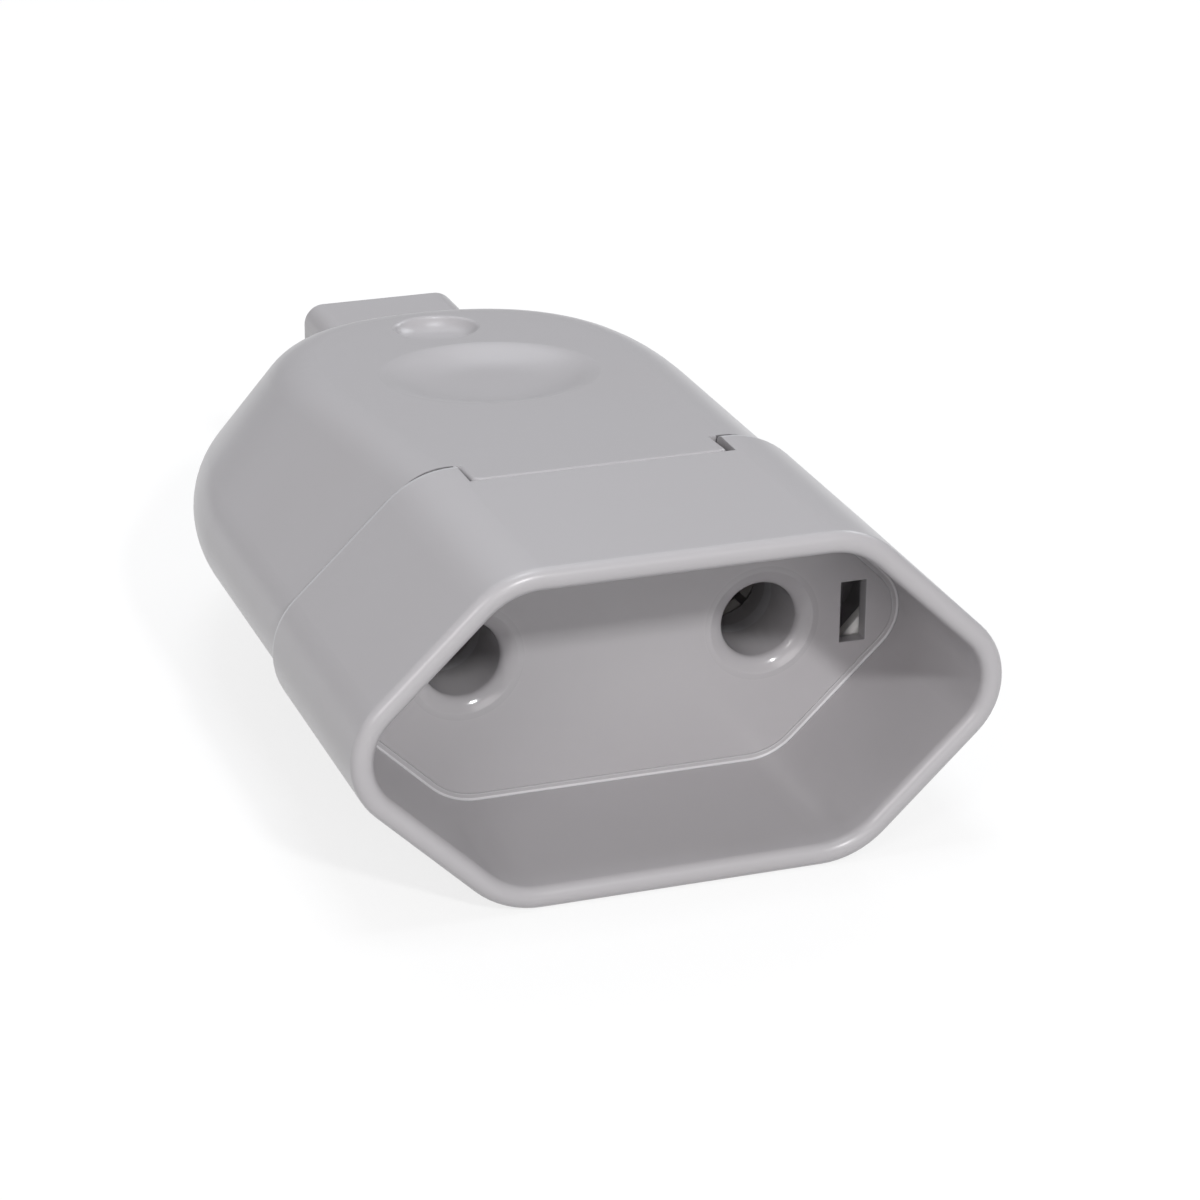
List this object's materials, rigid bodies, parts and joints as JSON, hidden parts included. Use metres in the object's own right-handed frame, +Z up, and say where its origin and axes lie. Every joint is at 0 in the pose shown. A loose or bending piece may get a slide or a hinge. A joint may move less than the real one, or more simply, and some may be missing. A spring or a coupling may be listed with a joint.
{
  "type": "female cord connector",
  "caption": "Female cord connector with a hexagonal plug recess, round pin holes, a slide-on rear cover and a square cord outlet at the back.",
  "frame": {"origin": "middle of the footprint, on the plane that the connector stands on", "axes": "+Y towards the cord outlet, so the plug recess opens to -Y; +X across the two pin holes; +Z up, through the side with the thumb dish"},
  "size_m": [0.04, 0.0624, 0.0212],
  "materials": {
    "front_plastic": "satin light grey moulded thermoplastic",
    "cover_plastic": "satin light grey moulded thermoplastic",
    "insulator_plastic": "natural off-white moulded thermoplastic",
    "brass": "turned, bare",
    "plated_brass": "turned, nickel plated",
    "spring_steel": "rolled, bare",
    "zinc_plated_steel": "bright zinc plated"
  },
  "bodies": {
    "root": {"front_body": "front_plastic", "rear_cover": "cover_plastic", "contact_sleeve_left": "plated_brass", "contact_sleeve_right": "plated_brass", "contact_spring_left": "spring_steel", "contact_spring_right": "spring_steel", "terminal_block_left": "brass", "terminal_block_right": "brass", "terminal_screws": "zinc_plated_steel", "contact_retainer": "insulator_plastic", "cord_clamp": "insulator_plastic", "cord_clamp_screws": "zinc_plated_steel"}
  },
  "joints": []
}
